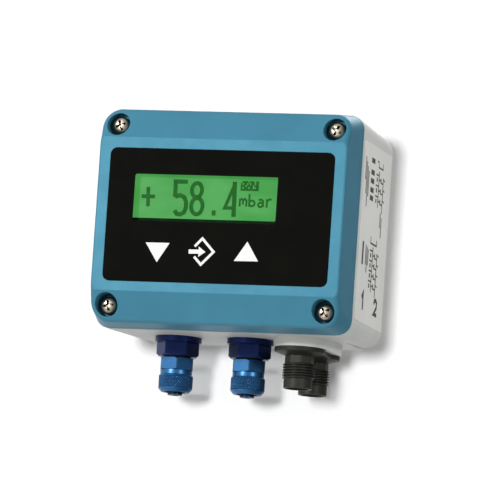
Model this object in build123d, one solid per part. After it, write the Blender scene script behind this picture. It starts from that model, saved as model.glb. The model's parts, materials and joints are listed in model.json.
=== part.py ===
from build123d import *

import os
from math import cos, radians, tan

# A differential pressure transmitter in a two-part plastic housing.
# X runs to the right, Y from the front to the rear, Z up. The origin is the middle of the rear mounting face.
# All sizes are in millimetres and all angles in degrees.

# Clearances between pieces that fit into each other
slip_gap = 0.05
run_gap = 0.05
seat_gap = 0.1

# Housing base
base_depth = 48.0
base_width = 99.2
base_height = 82.4
base_corner = 5.7
base_draft = 1.8
base_wall = 3.5
rear_wall = 3.5
rear_edge_radius = 2.0
land_inset = 9.2
land_step = 0.75

# Front lid
lid_depth = 15.0
lid_rim = 0.2
lid_corner = 5.5
lid_front_corner = 8.0
lid_draft = 6.6
lid_front_wall = 2.5
lid_side_wall = 3.0
flat_height = 57.5
slope_angle = 24.2
shoulder_radius = 2.0
front_edge_radius = 0.8

# Lid screws, their seal rings and brass inserts
screw_inset_x = 7.7
screw_inset_z = 7.2
screw_radius = 2.0
screw_length = 16.0
head_radius = 3.15
head_height = 2.3
head_dome = 0.8
cross_length = 3.6
cross_width = 0.9
cross_depth = 1.2
cross_turns = (20.0, 62.0, 35.0, 8.0)
counterbore_radius = 4.4
counterbore_depth = 7.8
counterbore_wall = 1.35
seal_thickness = 0.8
seal_radius = 3.3
screw_hole_radius = 2.2
column_radius = 5.0
lid_insert_radius = 2.8
lid_insert_length = 8.0
insert_sink = 0.3
insert_waist = 0.3
tip_room = 2.0

# Lid gasket
gasket_width = 1.5
gasket_depth = 1.5
gasket_inset = 1.0

# Rear mounting inserts
mount_spacing_x = 60.0
mount_spacing_z = 60.0
mount_insert_radius = 2.8
mount_insert_length = 6.5
mount_thread_radius = 1.65
mount_boss_radius = 4.5
mount_boss_floor = 1.5

# Front foil
foil_margin_x = 6.25
foil_margin_z = 3.9
foil_corner = 2.5
foil_thickness = 0.35
foil_sink = 0.05
foil_gap = 0.15
foil_z = -0.2

# Display window, glass and backlight
window_width = 55.3
window_height = 17.5
window_corner = 0.8
window_x = -5.55
window_z = 6.35
pane_overlap = 1.2
pane_thickness = 2.0
glass_width = 62.0
glass_height = 22.0
glass_thickness = 2.0
glass_gap = 0.6
backlight_width = 60.0
backlight_thickness = 3.0

# Display board and its screws
board_thickness = 1.6
display_board_margin_x = 5.4
display_board_height = 48.0
display_board_z = -0.5
board_screw_inset = 3.5
board_boss_radius = 3.0
board_screw_radius = 1.2
board_screw_length = 5.5
board_screw_head_radius = 2.4
board_screw_head_height = 1.6

# Keys: plungers behind the foil, each on the button of a push switch
key_names = ("down", "enter", "up")
key_middle_x = -5.5
key_pitch = 17.25
key_z = -13.4
key_travel = 0.25
plunger_radius = 4.0
plunger_flange_radius = 5.2
plunger_flange_thickness = 0.9
button_radius = 1.7
button_length = 2.6
button_stand = 1.1
switch_width = 6.0

# Main board and what it carries
main_board_margin_x = 9.6
main_board_margin_z = 13.2
main_board_gap = 5.3
main_screw_inset = 3.5
main_boss_radius = 3.5
main_screw_radius = 1.45
main_screw_length = 7.0
main_screw_head_radius = 2.75
main_screw_head_height = 1.8
relay_width = 9.0
relay_height = 16.0
relay_depth = 13.0
relay_gap = 3.25
relay_places = (-8.0, 11.0)
capacitor_radius = 3.2
capacitor_length = 9.0
capacitor_x = 14.0
capacitor_places = (-4.0, 8.0)
chip_width = 9.0
chip_thickness = 1.8
chip_places = ((-14.0, 23.0), (2.0, 23.0), (10.0, -20.0))

# Ribbon between the boards
ribbon_inset = 14.0
ribbon_width = 12.7
ribbon_thickness = 0.9
ribbon_low_z = 10.0
ribbon_high_z = 18.0
ribbon_bend = 5.0
ribbon_lead = 11.5
socket_length = 14.5
socket_height = 5.0
socket_depth = 4.0

# Pressure ports through the floor of the base
port_spacing = 28.1
port_middle_x = -10.25
port_y = -23.0
port_boss_radius = 9.3
port_boss_height = 0.35
collar_radius = 8.75
collar_height = 2.1
adapter_hex = 14.0
adapter_hex_height = 5.3
adapter_hex_turn = 11.0
adapter_chamfer = 0.9
hex_corner_trim = 0.13
adapter_thread_radius = 5.0
adapter_bore = 1.0
port_seal_inner = 5.7
port_seal_outer = 7.1
port_seal_height = 1.1
lock_nut_hex = 14.0
lock_nut_height = 3.0
inner_pad_radius = 10.0
inner_pad_z = -36.6
stub_radius = 1.7
stub_ridge = 0.3
stub_length = 6.4

# Hose fittings with clamp ring and union nut
fitting_seal_height = 0.6
fitting_seal_radius = 5.0
fitting_hex = 12.0
fitting_hex_height = 4.4
fitting_hex_turn = -13.6
fitting_chamfer = 0.4
upper_thread_radius = 3.3
upper_thread_length = 4.3
fitting_thread_radius = 5.0
fitting_thread_length = 5.4
fitting_cone_length = 0.6
fitting_bore = 1.5
nipple_radius = 2.75
nipple_stand = 1.1
nut_radius = 6.4
nut_length = 8.2
nut_gap = 0.1
nut_collar_radius = 5.95
nut_collar_height = 1.75
nut_collar_chamfer = 0.15
nut_shoulder = 0.35
nut_taper_height = 1.3
nut_taper_inset = 1.1
nut_floor = 1.3
hose_hole_radius = 4.1
clamp_ring_height = 1.2
clamp_ring_gap = 0.05

# Pressure cell and hoses
cell_width = 30.0
cell_height = 26.0
cell_depth = 14.0
cell_z = 5.0
cell_radius = 3.0
cell_cap_radius = 10.0
cell_cap_height = 1.2
cell_stub_spacing = 12.0
cell_foot_radius = 1.5
cell_foot_inset = 4.0
hose_radius = 2.75
hose_bore = 1.75
hose_bend = 6.0
hose_straight = 8.5

# Double connector block
connector_gap = 4.05
connector_spacing = 20.4
flange_width = 19.0
flange_waist = 16.0
flange_height = 2.9
flange_rim = 1.7
flange_edge = 0.4
connector_boss_margin = 0.4
connector_boss_height = 4.15
connector_boss_draft = 2.0
connector_floor = 3.0
spigot_radius = 6.4
spigot_height = 6.6
spigot_gap = 0.15
neck_radius = 5.45
neck_height = 2.8
neck_sides = 8
thread_radius = 6.0
thread_length = 6.0
tip_radius = 5.35
tip_length = 3.45
shell_bore = 4.3
carrier_depth = 8.2
carrier_stand = 1.0
pin_count = 4
pin_radius = 0.5
pin_circle = 2.5
pin_recess = 1.1
pin_tail = 1.2
key_rib_width = 1.2
key_rib_height = 0.6
connector_gasket_inner = 13.4
connector_gasket_width = 1.0
connector_gasket_height = 0.9
connector_screw_radius = 1.5
connector_screw_bite = 2.2
connector_screw_pad = 3.2
connector_screw_head_radius = 2.75
connector_screw_head_height = 1.8

# Leads from the connectors to the main board
lead_radius = 1.6
lead_mould_radius = 3.6
lead_mould_height = 4.0
plug_width = 10.0
plug_depth = 6.0
plug_height = 8.0
lead_socket_height = 6.0
rear_plug_z = -24.0
front_plug_shift = 9.9
front_plug_z = -4.0
lead_rise = 13.0
lead_run_in = 8.0
lead_bend = 8.0

# Side label on the right wall
label_width = 43.0
label_height = 66.8
label_corner = 1.0
label_thickness = 0.12
label_y = -24.1
label_z = -0.8

# Sizes and places that follow from the sizes above
lid_width = base_width - 2 * lid_rim
lid_height = base_height - 2 * lid_rim
land_width = base_width - 2 * land_inset
land_drop = base_height / 2 - land_step
foil_width = lid_width - 2 * foil_margin_x
foil_height = flat_height - 2 * foil_margin_z
display_board_width = lid_width - 2 * display_board_margin_x
main_board_width = base_width - 2 * main_board_margin_x
main_board_height = base_height - 2 * main_board_margin_z
lid_column_radius = counterbore_radius + counterbore_wall
relay_x = port_middle_x - cell_width / 2 - relay_gap - relay_width / 2
ribbon_x = display_board_width / 2 - ribbon_inset
connector_x = port_middle_x + port_spacing / 2 + collar_radius + connector_gap + flange_width / 2
front_plug_x = connector_x + front_plug_shift
parting_y = -base_depth
front_y = parting_y - lid_depth
foil_front_y = front_y + foil_sink
foil_back_y = foil_front_y + foil_thickness
lid_inner_y = front_y + lid_front_wall
pane_back_y = foil_back_y + pane_thickness
glass_front_y = pane_back_y + glass_gap
glass_back_y = glass_front_y + glass_thickness
display_board_front = glass_back_y + backlight_thickness
display_board_back = display_board_front + board_thickness
plunger_flange_front = lid_inner_y + seat_gap
button_front_y = plunger_flange_front + plunger_flange_thickness
switch_front_y = button_front_y + button_stand
head_seat_y = front_y + counterbore_depth - seal_thickness
main_board_back = -rear_wall - main_board_gap
main_board_front = main_board_back - board_thickness
port_face_z = -land_drop - port_boss_height
collar_low = port_face_z - collar_height
adapter_low = collar_low - adapter_hex_height
fitting_top = adapter_low - fitting_seal_height
fitting_hex_low = fitting_top - fitting_hex_height
fitting_thread_low = fitting_hex_low - fitting_thread_length
nut_top = fitting_hex_low - nut_gap
nut_low = nut_top - nut_length
nut_floor_z = nut_low + nut_floor
nipple_low = nut_low - nipple_stand
stub_base_z = inner_pad_z + lock_nut_height + 0.6
stub_top_z = stub_base_z + stub_length
cell_low_z = cell_z - cell_height / 2
connector_face_z = -land_drop - connector_boss_height
flange_low = connector_face_z - flange_height
thread_top = flange_low - neck_height
thread_low = thread_top - thread_length
tip_low = thread_low - tip_length
carrier_low = tip_low + carrier_depth
spigot_top = connector_face_z + spigot_height
carrier_top = spigot_top + carrier_stand
pocket_floor_z = connector_face_z + connector_floor

screw_places = [
    (x * (lid_width / 2 - screw_inset_x), z * (lid_height / 2 - screw_inset_z))
    for x, z in ((-1, 1), (1, 1), (1, -1), (-1, -1))
]
mount_places = [(x * mount_spacing_x / 2, z * mount_spacing_z / 2) for x in (-1, 1) for z in (-1, 1)]
key_places = [key_middle_x + key_pitch * step for step in (-1, 0, 1)]
port_places = [port_middle_x - port_spacing / 2, port_middle_x + port_spacing / 2]
connector_places = [port_y - connector_spacing / 2, port_y + connector_spacing / 2]
cell_stub_places = [port_middle_x - cell_stub_spacing / 2, port_middle_x + cell_stub_spacing / 2]
display_screw_places = [
    (
        x * (display_board_width / 2 - board_screw_inset),
        display_board_z + z * (display_board_height / 2 - board_screw_inset),
    )
    for x in (-1, 1)
    for z in (-1, 1)
]
main_screw_places = [
    (x * (main_board_width / 2 - main_screw_inset), z * (main_board_height / 2 - main_screw_inset))
    for x in (-1, 1)
    for z in (-1, 1)
]


# Building blocks


def facing(y, x=0.0, z=0.0):
    """A place at this depth, with local x to the right, local y up and local z to the front."""
    return Plane(origin=(x, y, z), x_dir=(1, 0, 0), z_dir=(0, -1, 0))


def prism(sketch, front, back, x=0.0, z=0.0, taper=0.0):
    """A face drawn in X and Z, thickened from the back depth to the front depth."""
    return extrude(facing(back, x, z) * sketch, back - front, taper=taper)


def rod(radius, front, back, x=0.0, z=0.0):
    """A round bar along Y."""
    return prism(Circle(radius), front, back, x, z)


def block(width, height, front, back, x=0.0, z=0.0):
    """A rectangular block, given by its depths."""
    return prism(Rectangle(width, height), front, back, x, z)


def post(radius, low, high, x, y):
    """A round bar along Z."""
    return Pos(x, y, low) * Cylinder(radius, high - low, align=(Align.CENTER, Align.CENTER, Align.MIN))


def tube(outer, inner, low, high, x, y):
    """A plain ring with its axis along Z."""
    return post(outer, low, high, x, y) - post(inner, low - 1, high + 1, x, y)


def hexagon(across_flats, low, high, x, y, turn, turned, both_ends):
    """A hexagon bar along Z with turned corners; the turn is that of one flat, away from the front."""
    radius = across_flats / 2 / cos(radians(30))
    bar = extrude(Pos(x, y, low) * Rot(0, 0, turn) * RegularPolygon(radius, 6), high - low)
    round_bar = post(radius - hex_corner_trim, low, high, x, y)
    ends = round_bar.edges().filter_by(GeomType.CIRCLE).sort_by(Axis.Z)
    chosen = ends if both_ends else ends[0:1]
    return bar & chamfer(chosen, turned)


def oval(width, length, low, high, x, y, taper=0.0):
    """A bar along Z whose section is a slot shape that is long in Y."""
    slot = Rot(0, 0, 90) * SlotOverall(length, width)
    return extrude(Pos(x, y, low) * slot, high - low, taper=taper)


def drafted_box(width, height, corner, end_corner, start, end, draft):
    """A rounded box that narrows by its draft from its start depth to its end depth."""
    shrink = 2 * abs(end - start) * tan(radians(draft))
    wide = facing(start) * RectangleRounded(width, height, corner)
    narrow = facing(end) * RectangleRounded(width - shrink, height - shrink, end_corner)
    return loft([wide, narrow], ruled=True)


def joined(solids):
    """Several separate solids as one group."""
    return Compound(children=list(solids))


# Housing base


def wall_x(y):
    """Half the width of the base at this depth."""
    return base_width / 2 - (y - parting_y) * tan(radians(base_draft))


def tapered_box(width, height, corner, front, back):
    """A rounded box that is full size at its front and narrows to the rear."""
    plane = Plane(origin=(0, front, 0), x_dir=(-1, 0, 0), z_dir=(0, 1, 0))
    return extrude(plane * RectangleRounded(width, height, corner), back - front, taper=base_draft)


def base_outside():
    shell = drafted_box(base_width, base_height, base_corner, base_corner, parting_y, 0, base_draft)
    rear_edges = shell.edges().group_by(Axis.Y)[-1]
    shell = fillet(rear_edges, rear_edge_radius)
    land_height = base_height / 2 - base_wall
    land = block(land_width, land_drop - land_height / 2, parting_y, 0, 0, -(land_drop + land_height / 2) / 2)
    shell = shell + (land - block(land_width, base_height, parting_y - 1, parting_y + gasket_inset))
    for x in port_places:
        shell = shell + post(port_boss_radius, port_face_z, inner_pad_z, x, port_y)
    boss_width = flange_width + 2 * connector_boss_margin
    boss_length = connector_spacing + boss_width
    boss = oval(boss_width, boss_length, connector_face_z, inner_pad_z, connector_x, port_y, -connector_boss_draft)
    return shell + boss


def base_inside():
    """The hollow of the base, with the columns, bosses and pads left standing in it."""
    inner_corner = max(base_corner - base_wall, base_depth * tan(radians(base_draft)) + 0.5)
    room = tapered_box(base_width - 2 * base_wall, base_height - 2 * base_wall, inner_corner, parting_y, -rear_wall)
    for place in screw_places:
        room = room - rod(column_radius, parting_y, 0, *place)
    mount_boss_top = -(mount_insert_length + mount_boss_floor)
    for place in mount_places:
        room = room - rod(mount_boss_radius, mount_boss_top, 0, *place)
    for place in main_screw_places:
        room = room - rod(main_boss_radius, main_board_back, 0, *place)
    for x in port_places:
        room = room - post(inner_pad_radius, port_face_z, inner_pad_z, x, port_y)
    return room


def base_holes():
    """Everything that is cut from the walls and bosses of the base."""
    cuts = []
    insert_bottom = parting_y + insert_sink + lid_insert_length
    screw_tip = head_seat_y + screw_length
    for place in screw_places:
        cuts.append(rod(lid_insert_radius, parting_y, insert_bottom, *place))
        cuts.append(rod(screw_hole_radius, insert_bottom, max(screw_tip, insert_bottom) + tip_room, *place))
    for place in mount_places:
        cuts.append(rod(mount_insert_radius, -mount_insert_length - seat_gap, 0, *place))
    for place in main_screw_places:
        cuts.append(rod(main_screw_radius + slip_gap, main_board_back, main_board_front + main_screw_length, *place))
    for x in port_places:
        cuts.append(post(adapter_thread_radius + slip_gap, port_face_z, inner_pad_z, x, port_y))
    pocket_width = flange_width - 2 * connector_floor + 2 * connector_boss_margin
    pocket_length = connector_spacing + pocket_width
    cuts.append(oval(pocket_width, pocket_length, pocket_floor_z, inner_pad_z + 1, connector_x, port_y))
    for y in connector_places:
        cuts.append(post(spigot_radius + spigot_gap, connector_face_z, pocket_floor_z, connector_x, y))
    cuts.append(post(connector_screw_radius + spigot_gap, connector_face_z, pocket_floor_z, connector_x, port_y))
    return cuts + [gasket_ring(parting_y, parting_y + gasket_depth, 0)]


def gasket_ring(front, back, gap):
    """The ring of the lid gasket, or of its groove when the gap is none."""
    width = base_width - 2 * gasket_inset - 2 * gap
    height = base_height - 2 * gasket_inset - 2 * gap
    corner = base_corner - gasket_inset - gap
    band = gasket_width - 2 * gap
    outside = RectangleRounded(width, height, corner)
    inside = RectangleRounded(width - 2 * band, height - 2 * band, max(corner - band, 0.5))
    return prism(outside - inside, front, back)


def housing_base():
    return base_outside() - base_inside() - base_holes()


# Front lid


def lid_profile(front, crease, back):
    """The side view of the lid, flat in the middle and sloping back above and below, as a bar along X."""
    reach = lid_height / 2 + lid_depth
    slope_end = front + (reach - crease) * tan(radians(slope_angle))
    outline = Polyline(
        (front, -crease),
        (front, crease),
        (slope_end, reach),
        (back + lid_depth, reach),
        (back + lid_depth, -reach),
        (slope_end, -reach),
        close=True,
    )
    return extrude(Plane.YZ * make_face(outline), lid_width, both=True)


def lid_outside():
    reach = lid_depth * 1.5
    end_corner = lid_corner + (lid_front_corner - lid_corner) * reach / lid_depth
    shape = drafted_box(lid_width, lid_height, lid_corner, end_corner, parting_y, parting_y - reach, lid_draft)
    shape = shape & lid_profile(front_y, flat_height / 2, parting_y)
    shoulder_z = lid_height / 2 - shoulder_radius * 2
    shoulders = [e for e in shape.edges() if abs(e.center().Z) > shoulder_z and e.center().Y < parting_y - 1]
    shape = fillet([e for e in shoulders if e.length > lid_width / 2], shoulder_radius)
    flat_edges = shape.edges().group_by(Axis.Y)[0]
    return fillet(flat_edges, front_edge_radius)


def lid_inside():
    """The hollow of the lid, with its four screw columns left standing."""
    slope = radians(slope_angle)
    inner_corner = max(lid_corner - lid_side_wall, 1.0)
    room = prism(
        RectangleRounded(lid_width - 2 * lid_side_wall, lid_height - 2 * lid_side_wall, inner_corner),
        lid_inner_y,
        parting_y,
        taper=lid_draft,
    )
    inner_crease = flat_height / 2 - lid_front_wall * (1 / cos(slope) - 1) / tan(slope)
    room = room & lid_profile(lid_inner_y, inner_crease, parting_y)
    for place in screw_places:
        room = room - rod(lid_column_radius, front_y, parting_y, *place)
    for place in display_screw_places:
        room = room - rod(board_boss_radius, front_y, display_board_front, *place)
    return room


def lid_holes():
    """Everything that is cut from the front of the lid."""
    recess = RectangleRounded(foil_width + 2 * foil_gap, foil_height + 2 * foil_gap, foil_corner + foil_gap)
    cuts = [prism(recess, front_y - 1, foil_back_y, 0, foil_z)]
    pane = Rectangle(window_width + 2 * (pane_overlap + seat_gap), window_height + 2 * (pane_overlap + seat_gap))
    cuts.append(prism(pane, front_y, lid_inner_y + 1, window_x, window_z))
    for x in key_places:
        cuts.append(rod(plunger_radius + seat_gap, front_y, lid_inner_y + 1, x, key_z))
    for place in screw_places:
        cuts.append(rod(counterbore_radius, front_y - 1, front_y + counterbore_depth, *place))
        cuts.append(rod(screw_hole_radius, front_y, parting_y + 1, *place))
    for place in display_screw_places:
        pilot_front = display_board_back - board_screw_length
        cuts.append(rod(board_screw_radius + slip_gap, pilot_front, display_board_front, *place))
    return cuts


def front_lid():
    return lid_outside() - lid_inside() - lid_holes()


# Screws, seals and inserts


def lid_screw(place, turn):
    x, z = place
    shank = rod(screw_radius, head_seat_y, head_seat_y + screw_length, x, z)
    cap = rod(head_radius, head_seat_y - head_height, head_seat_y, x, z)
    cap = fillet(cap.edges().group_by(Axis.Y)[0], head_dome)
    top = head_seat_y - head_height
    arms = Rectangle(cross_length, cross_width) + Rectangle(cross_width, cross_length)
    cross = prism(Rot(0, 0, turn) * arms, top - 1, top + cross_depth, x, z)
    return shank + cap - cross


def screw_seal(place):
    seat = front_y + counterbore_depth
    ring = rod(seal_radius, head_seat_y, seat, *place)
    return ring - rod(screw_radius + slip_gap, head_seat_y, seat, *place)


def threaded_insert(place, front, back, outer, bore):
    """A brass insert with a waist between its two knurled belts."""
    length = back - front
    body = rod(outer, front, back, *place)
    waist_front = front + length * 0.4
    waist_back = front + length * 0.6
    waist = rod(outer, waist_front, waist_back, *place)
    waist = waist - rod(outer - insert_waist, waist_front, waist_back, *place)
    return body - waist - rod(bore, front - 1, back + 1, *place)


def lid_insert(place):
    front = parting_y + insert_sink
    return threaded_insert(place, front, front + lid_insert_length, lid_insert_radius, screw_radius + slip_gap)


def mounting_insert(place):
    back = -seat_gap
    return threaded_insert(place, -mount_insert_length, back, mount_insert_radius, mount_thread_radius)


# Foil, window and display


def front_foil():
    sheet = prism(RectangleRounded(foil_width, foil_height, foil_corner), foil_front_y, foil_back_y, 0, foil_z)
    opening = RectangleRounded(window_width, window_height, window_corner)
    return sheet - prism(opening, foil_front_y - 1, foil_back_y + 1, window_x, window_z)


def window_pane():
    width = window_width + 2 * pane_overlap
    height = window_height + 2 * pane_overlap
    return block(width, height, foil_back_y, pane_back_y, window_x, window_z)


def display_glass():
    return block(glass_width, glass_height, glass_front_y, glass_back_y, window_x, window_z)


def display_backlight():
    return block(backlight_width, glass_height, glass_back_y, display_board_front, window_x, window_z)


def display_board():
    board = block(display_board_width, display_board_height, display_board_front, display_board_back, 0, display_board_z)
    for place in display_screw_places:
        board = board - rod(board_screw_radius + seat_gap, display_board_front, display_board_back, *place)
    return board


def display_board_screw(place):
    seat = display_board_back
    shank = rod(board_screw_radius, seat - board_screw_length + seat_gap, seat, *place)
    return shank + rod(board_screw_head_radius, seat, seat + board_screw_head_height, *place)


# Keys


def key_plunger(x):
    head = rod(plunger_radius, foil_back_y, plunger_flange_front, x, key_z)
    return head + rod(plunger_flange_radius, plunger_flange_front, button_front_y, x, key_z)


def switch_button(x):
    return rod(button_radius, button_front_y, button_front_y + button_length, x, key_z)


def key_switch(x):
    body = block(switch_width, switch_width, switch_front_y, display_board_front, x, key_z)
    well_back = button_front_y + button_length + key_travel + seat_gap
    return body - rod(button_radius + run_gap, switch_front_y, well_back, x, key_z)


# Main board


def main_board():
    board = block(main_board_width, main_board_height, main_board_front, main_board_back)
    for place in main_screw_places:
        board = board - rod(main_screw_radius + seat_gap, main_board_front, main_board_back, *place)
    return board


def main_board_screw(place):
    shank = rod(main_screw_radius, main_board_front, main_board_front + main_screw_length - seat_gap, *place)
    head_top = main_board_front - main_screw_head_height
    return shank + rod(main_screw_head_radius, head_top, main_board_front, *place)


def relay(z):
    return block(relay_width, relay_height, main_board_front - relay_depth, main_board_front, relay_x, z)


def capacitor(z):
    can = rod(capacitor_radius, main_board_front - capacitor_length, main_board_front, capacitor_x, z)
    return fillet(can.edges().group_by(Axis.Y)[0], 0.5)


def chip(place):
    return block(chip_width, chip_width, main_board_front - chip_thickness, main_board_front, *place)


def ribbon_socket(front, back, z):
    return block(socket_length, socket_height, front, back, ribbon_x, z)


def board_ribbon():
    start = display_board_back + socket_depth
    end = main_board_front - socket_depth
    line = FilletPolyline(
        (start, ribbon_low_z),
        (start + ribbon_lead, ribbon_low_z),
        (end - ribbon_lead, ribbon_high_z),
        (end, ribbon_high_z),
        radius=ribbon_bend,
    )
    band = trace(line, ribbon_thickness)
    return extrude(Plane.YZ.offset(ribbon_x - ribbon_width / 2) * band, ribbon_width)


# Pressure ports


def hose_stub(x, low, high):
    """A stub with two ridges that hold a hose."""
    stub = post(stub_radius, low, high, x, port_y)
    ridge_height = (high - low) / 5
    for step in (1, 3):
        ridge = post(stub_radius + stub_ridge, 0, ridge_height, 0, 0)
        stub = stub + Pos(x, port_y, low + step * ridge_height) * ridge
    return stub


def port_adapter(x):
    """One turned piece: thread and stub inside the housing, collar and hexagon below it."""
    hex_bar = hexagon(adapter_hex, adapter_low, collar_low, x, port_y, adapter_hex_turn, adapter_chamfer, False)
    collar = post(collar_radius, collar_low, port_face_z, x, port_y)
    thread = post(adapter_thread_radius, port_face_z, stub_base_z, x, port_y)
    body = hex_bar + collar + thread + hose_stub(x, stub_base_z, stub_top_z)
    body = body - tube(port_seal_outer, port_seal_inner, port_face_z - port_seal_height, port_face_z, x, port_y)
    socket_top = fitting_top + upper_thread_length + seat_gap
    body = body - post(upper_thread_radius + slip_gap, adapter_low, socket_top, x, port_y)
    return body - post(adapter_bore, socket_top, stub_top_z, x, port_y)


def port_seal(x):
    return tube(port_seal_outer, port_seal_inner, port_face_z - port_seal_height, port_face_z, x, port_y)


def port_lock_nut(x):
    nut = hexagon(lock_nut_hex, inner_pad_z, inner_pad_z + lock_nut_height, x, port_y, 0, adapter_chamfer / 2, True)
    return nut - post(adapter_thread_radius + slip_gap, inner_pad_z, inner_pad_z + lock_nut_height, x, port_y)


def fitting_seal(x):
    return tube(fitting_seal_radius, upper_thread_radius + slip_gap, fitting_top, adapter_low, x, port_y)


def hose_fitting(x):
    """Hexagon, thread for the union nut and nipple for the hose, bored through."""
    body = hexagon(fitting_hex, fitting_hex_low, fitting_top, x, port_y, fitting_hex_turn, fitting_chamfer, True)
    body = body + post(upper_thread_radius, fitting_top, fitting_top + upper_thread_length, x, port_y)
    body = body + post(fitting_thread_radius, fitting_thread_low, fitting_hex_low, x, port_y)
    cone_low = fitting_thread_low - fitting_cone_length
    cone = Pos(x, port_y, cone_low) * Cone(
        nipple_radius, nipple_radius + 1, fitting_cone_length, align=(Align.CENTER, Align.CENTER, Align.MIN)
    )
    body = body + cone + post(nipple_radius, nipple_low, fitting_thread_low, x, port_y)
    return body - post(fitting_bore, nipple_low, fitting_top + upper_thread_length, x, port_y)


def clamp_ring(x):
    low = nut_floor_z + clamp_ring_gap
    return tube(fitting_thread_radius, hose_hole_radius, low, low + clamp_ring_height, x, port_y)


def union_nut(x):
    """A drum that tapers at its lower end, with a narrower collar on top."""
    drum_top = nut_top - nut_collar_height
    drum = post(nut_radius, nut_low, drum_top, x, port_y)
    drum = chamfer(drum.edges().filter_by(GeomType.CIRCLE).sort_by(Axis.Z)[-1], nut_shoulder)
    low_edge = drum.edges().filter_by(GeomType.CIRCLE).sort_by(Axis.Z)[0]
    drum = chamfer(low_edge, nut_taper_height, nut_taper_inset, reference=drum.faces().sort_by(SortBy.AREA)[-1])
    collar = post(nut_collar_radius, drum_top, nut_top, x, port_y)
    collar = chamfer(collar.edges().filter_by(GeomType.CIRCLE).sort_by(Axis.Z)[-1], nut_collar_chamfer)
    body = drum + collar - post(fitting_thread_radius + run_gap, nut_floor_z, nut_top, x, port_y)
    return body - post(hose_hole_radius, nut_low, nut_floor_z, x, port_y)


# Pressure cell and hoses


def pressure_cell():
    back = port_y + cell_depth / 2
    front = port_y - cell_depth / 2
    body = prism(RectangleRounded(cell_width, cell_height, cell_radius), front, back, port_middle_x, cell_z)
    body = body + rod(cell_cap_radius, front - cell_cap_height, front, port_middle_x, cell_z)
    for x in (-1, 1):
        for z in (-1, 1):
            foot_x = port_middle_x + x * (cell_width / 2 - cell_foot_inset)
            foot_z = cell_z + z * (cell_height / 2 - cell_foot_inset)
            body = body + rod(cell_foot_radius, back, main_board_front, foot_x, foot_z)
    for x in cell_stub_places:
        body = body + hose_stub(x, cell_low_z - stub_length, cell_low_z)
    return body


def pressure_hose(port_x, stub_x):
    low = stub_base_z
    line = FilletPolyline(
        (port_x, port_y, low),
        (port_x, port_y, low + hose_straight),
        (stub_x, port_y, cell_low_z - hose_straight),
        (stub_x, port_y, cell_low_z),
        radius=hose_bend,
    )
    start = Plane(origin=(port_x, port_y, low), z_dir=(0, 0, 1))
    outside = sweep(start * Circle(hose_radius), path=line)
    inside = sweep(start * Circle(hose_bore), path=line)
    hose = outside - inside
    hose = hose - hose_stub(port_x, stub_base_z, stub_top_z)
    return hose - hose_stub(stub_x, cell_low_z - stub_length, cell_low_z)


# Double connector block


def connector_shell(y):
    """One of the two shells: eight-sided neck, thread and smooth tip, with a spigot above the flange."""
    outline = Rot(0, 0, 180 / neck_sides) * RegularPolygon(neck_radius, neck_sides)
    neck = extrude(Pos(connector_x, y, thread_top) * outline, neck_height)
    shell = neck + post(thread_radius, thread_low, thread_top, connector_x, y)
    shell = shell + post(tip_radius, tip_low, thread_low, connector_x, y)
    return shell + post(spigot_radius, connector_face_z, spigot_top, connector_x, y)


def connector_flange():
    """Two discs whose lower sides taper to the necks, with a narrower web between them."""
    rim_low = connector_face_z - flange_rim
    web = Box(flange_waist, connector_spacing, flange_rim)
    flange = Pos(connector_x, port_y, connector_face_z - flange_rim / 2) * web
    flange = flange + post(connector_screw_pad, flange_low, connector_face_z, connector_x, port_y)
    cone_radius = flange_width / 2 - flange_edge
    cone = Cone(neck_radius, cone_radius, rim_low - flange_low, align=(Align.CENTER, Align.CENTER, Align.MIN))
    for y in connector_places:
        disc = post(flange_width / 2, rim_low, connector_face_z, connector_x, y)
        disc = fillet(disc.edges().filter_by(GeomType.CIRCLE).sort_by(Axis.Z)[0], flange_edge)
        flange = flange + disc + Pos(connector_x, y, flange_low) * cone
    return flange


def connector_block():
    block_shape = connector_flange()
    for y in connector_places:
        block_shape = block_shape + connector_shell(y)
    for y in connector_places:
        block_shape = block_shape - post(shell_bore, tip_low, spigot_top, connector_x, y)
        rib_y = y + shell_bore - key_rib_height / 2
        rib_middle = (tip_low + carrier_low + pin_recess) / 2
        rib_length = carrier_low - tip_low - pin_recess
        rib = Box(key_rib_width, key_rib_height + 0.4, rib_length)
        block_shape = block_shape + Pos(connector_x, rib_y + 0.2, rib_middle) * rib
    screw_end = connector_face_z - connector_screw_bite - seat_gap
    block_shape = block_shape - post(
        connector_screw_radius + slip_gap, screw_end, connector_face_z, connector_x, port_y
    )
    return block_shape - connector_gasket()


def connector_gasket():
    low = connector_face_z - connector_gasket_height
    outer_width = connector_gasket_inner + 2 * connector_gasket_width
    outside = oval(
        outer_width, connector_spacing + outer_width, low, connector_face_z, connector_x, port_y
    )
    return outside - oval(
        connector_gasket_inner, connector_spacing + connector_gasket_inner, low, connector_face_z, connector_x, port_y
    )


def contact_pins(y):
    pins = []
    for step in range(pin_count):
        angle = 45 + step * 360 / pin_count
        pin = post(pin_radius, tip_low + pin_recess, carrier_top + pin_tail, pin_circle, 0)
        pins.append(Pos(connector_x, y, 0) * Rot(0, 0, angle) * pin)
    return pins


def contact_carrier(y):
    return post(shell_bore, carrier_low, carrier_top, connector_x, y) - contact_pins(y)


def connector_screw():
    shank_low = connector_face_z - connector_screw_bite
    shank = post(connector_screw_radius, shank_low, pocket_floor_z, connector_x, port_y)
    head_top = pocket_floor_z + connector_screw_head_height
    return shank + post(connector_screw_head_radius, pocket_floor_z, head_top, connector_x, port_y)


def plug_y():
    """The middle depth of a lead plug that lies on the main board."""
    return main_board_front - plug_depth / 2


def lead_mould(y):
    return post(lead_mould_radius, carrier_top, carrier_top + lead_mould_height, connector_x, y)


def rear_lead():
    y = connector_places[1]
    cable = post(lead_radius, carrier_top, rear_plug_z, connector_x, y)
    return cable + lead_mould(y) - contact_pins(y)


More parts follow.
